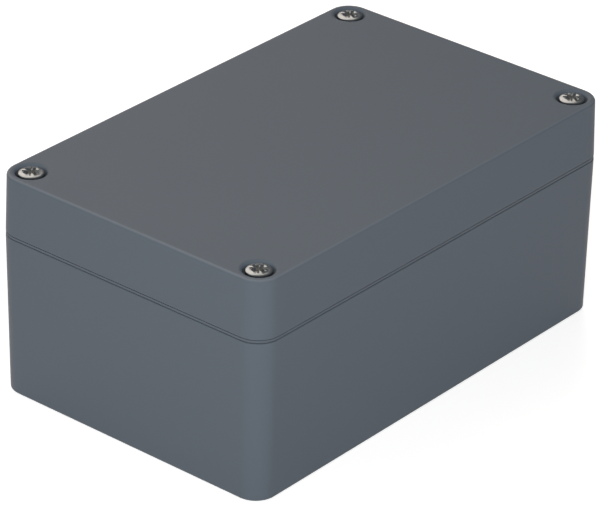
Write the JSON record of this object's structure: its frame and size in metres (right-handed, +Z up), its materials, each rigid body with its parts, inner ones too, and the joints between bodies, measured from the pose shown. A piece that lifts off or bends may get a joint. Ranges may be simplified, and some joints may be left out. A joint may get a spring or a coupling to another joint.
{
  "type": "plastic enclosure",
  "caption": "Sealed rectangular plastic housing for electronics: a deep drafted base, a shallow lid held by sunk captive corner screws, a rubber seal and hidden wall-fixing holes.",
  "frame": {"origin": "middle of the flat underside", "axes": "+X along the housing, +Y across it, +Z up through the lid"},
  "size_m": [0.125, 0.08, 0.0562],
  "materials": {
    "housing": "fine semi-matt moulded surface, blue-grey",
    "seal_rubber": "matt black sealing rubber",
    "screw_steel": "bright plated steel with a faint warm tone",
    "retainer_nylon": "natural off-white nylon",
    "insert_brass": "turned brass"
  },
  "bodies": {
    "base": {"base": "housing", "lid_insert_1": "insert_brass", "lid_insert_2": "insert_brass", "lid_insert_3": "insert_brass", "lid_insert_4": "insert_brass", "post_insert_1": "insert_brass", "post_insert_2": "insert_brass", "post_insert_3": "insert_brass", "post_insert_4": "insert_brass"},
    "lid": {"lid": "housing", "seal": "seal_rubber"},
    "retainer_1": {"screw_retainer_1": "retainer_nylon"},
    "screw_1": {"lid_screw_1": "screw_steel"},
    "retainer_2": {"screw_retainer_2": "retainer_nylon"},
    "screw_2": {"lid_screw_2": "screw_steel"},
    "retainer_3": {"screw_retainer_3": "retainer_nylon"},
    "screw_3": {"lid_screw_3": "screw_steel"},
    "retainer_4": {"screw_retainer_4": "retainer_nylon"},
    "screw_4": {"lid_screw_4": "screw_steel"}
  },
  "joints": [
    {"name": "lid_lift", "type": "slide", "parent": "base", "child": "lid", "axis": [0, 0, 1], "range_m": [0, 0.07]},
    {"name": "screw_1_rise", "type": "slide", "parent": "lid", "child": "retainer_1", "axis": [0, 0, 1], "range_m": [0, 0.007]},
    {"name": "screw_1_turn", "type": "hinge", "parent": "retainer_1", "child": "screw_1", "pos_m": [-0.0565, -0.034, 0.054], "axis": [0, 0, 1], "range_deg": [0, 5040]},
    {"name": "screw_2_rise", "type": "slide", "parent": "lid", "child": "retainer_2", "axis": [0, 0, 1], "range_m": [0, 0.007]},
    {"name": "screw_2_turn", "type": "hinge", "parent": "retainer_2", "child": "screw_2", "pos_m": [-0.0565, 0.034, 0.054], "axis": [0, 0, 1], "range_deg": [0, 5040]},
    {"name": "screw_3_rise", "type": "slide", "parent": "lid", "child": "retainer_3", "axis": [0, 0, 1], "range_m": [0, 0.007]},
    {"name": "screw_3_turn", "type": "hinge", "parent": "retainer_3", "child": "screw_3", "pos_m": [0.0565, -0.034, 0.054], "axis": [0, 0, 1], "range_deg": [0, 5040]},
    {"name": "screw_4_rise", "type": "slide", "parent": "lid", "child": "retainer_4", "axis": [0, 0, 1], "range_m": [0, 0.007]},
    {"name": "screw_4_turn", "type": "hinge", "parent": "retainer_4", "child": "screw_4", "pos_m": [0.0565, 0.034, 0.054], "axis": [0, 0, 1], "range_deg": [0, 5040]}
  ],
  "couplings": [
    {"joint": "screw_1_turn", "follows": "screw_1_rise", "rad_per_m": 12566},
    {"joint": "screw_2_turn", "follows": "screw_2_rise", "rad_per_m": 12566},
    {"joint": "screw_3_turn", "follows": "screw_3_rise", "rad_per_m": 12566},
    {"joint": "screw_4_turn", "follows": "screw_4_rise", "rad_per_m": 12566}
  ]
}
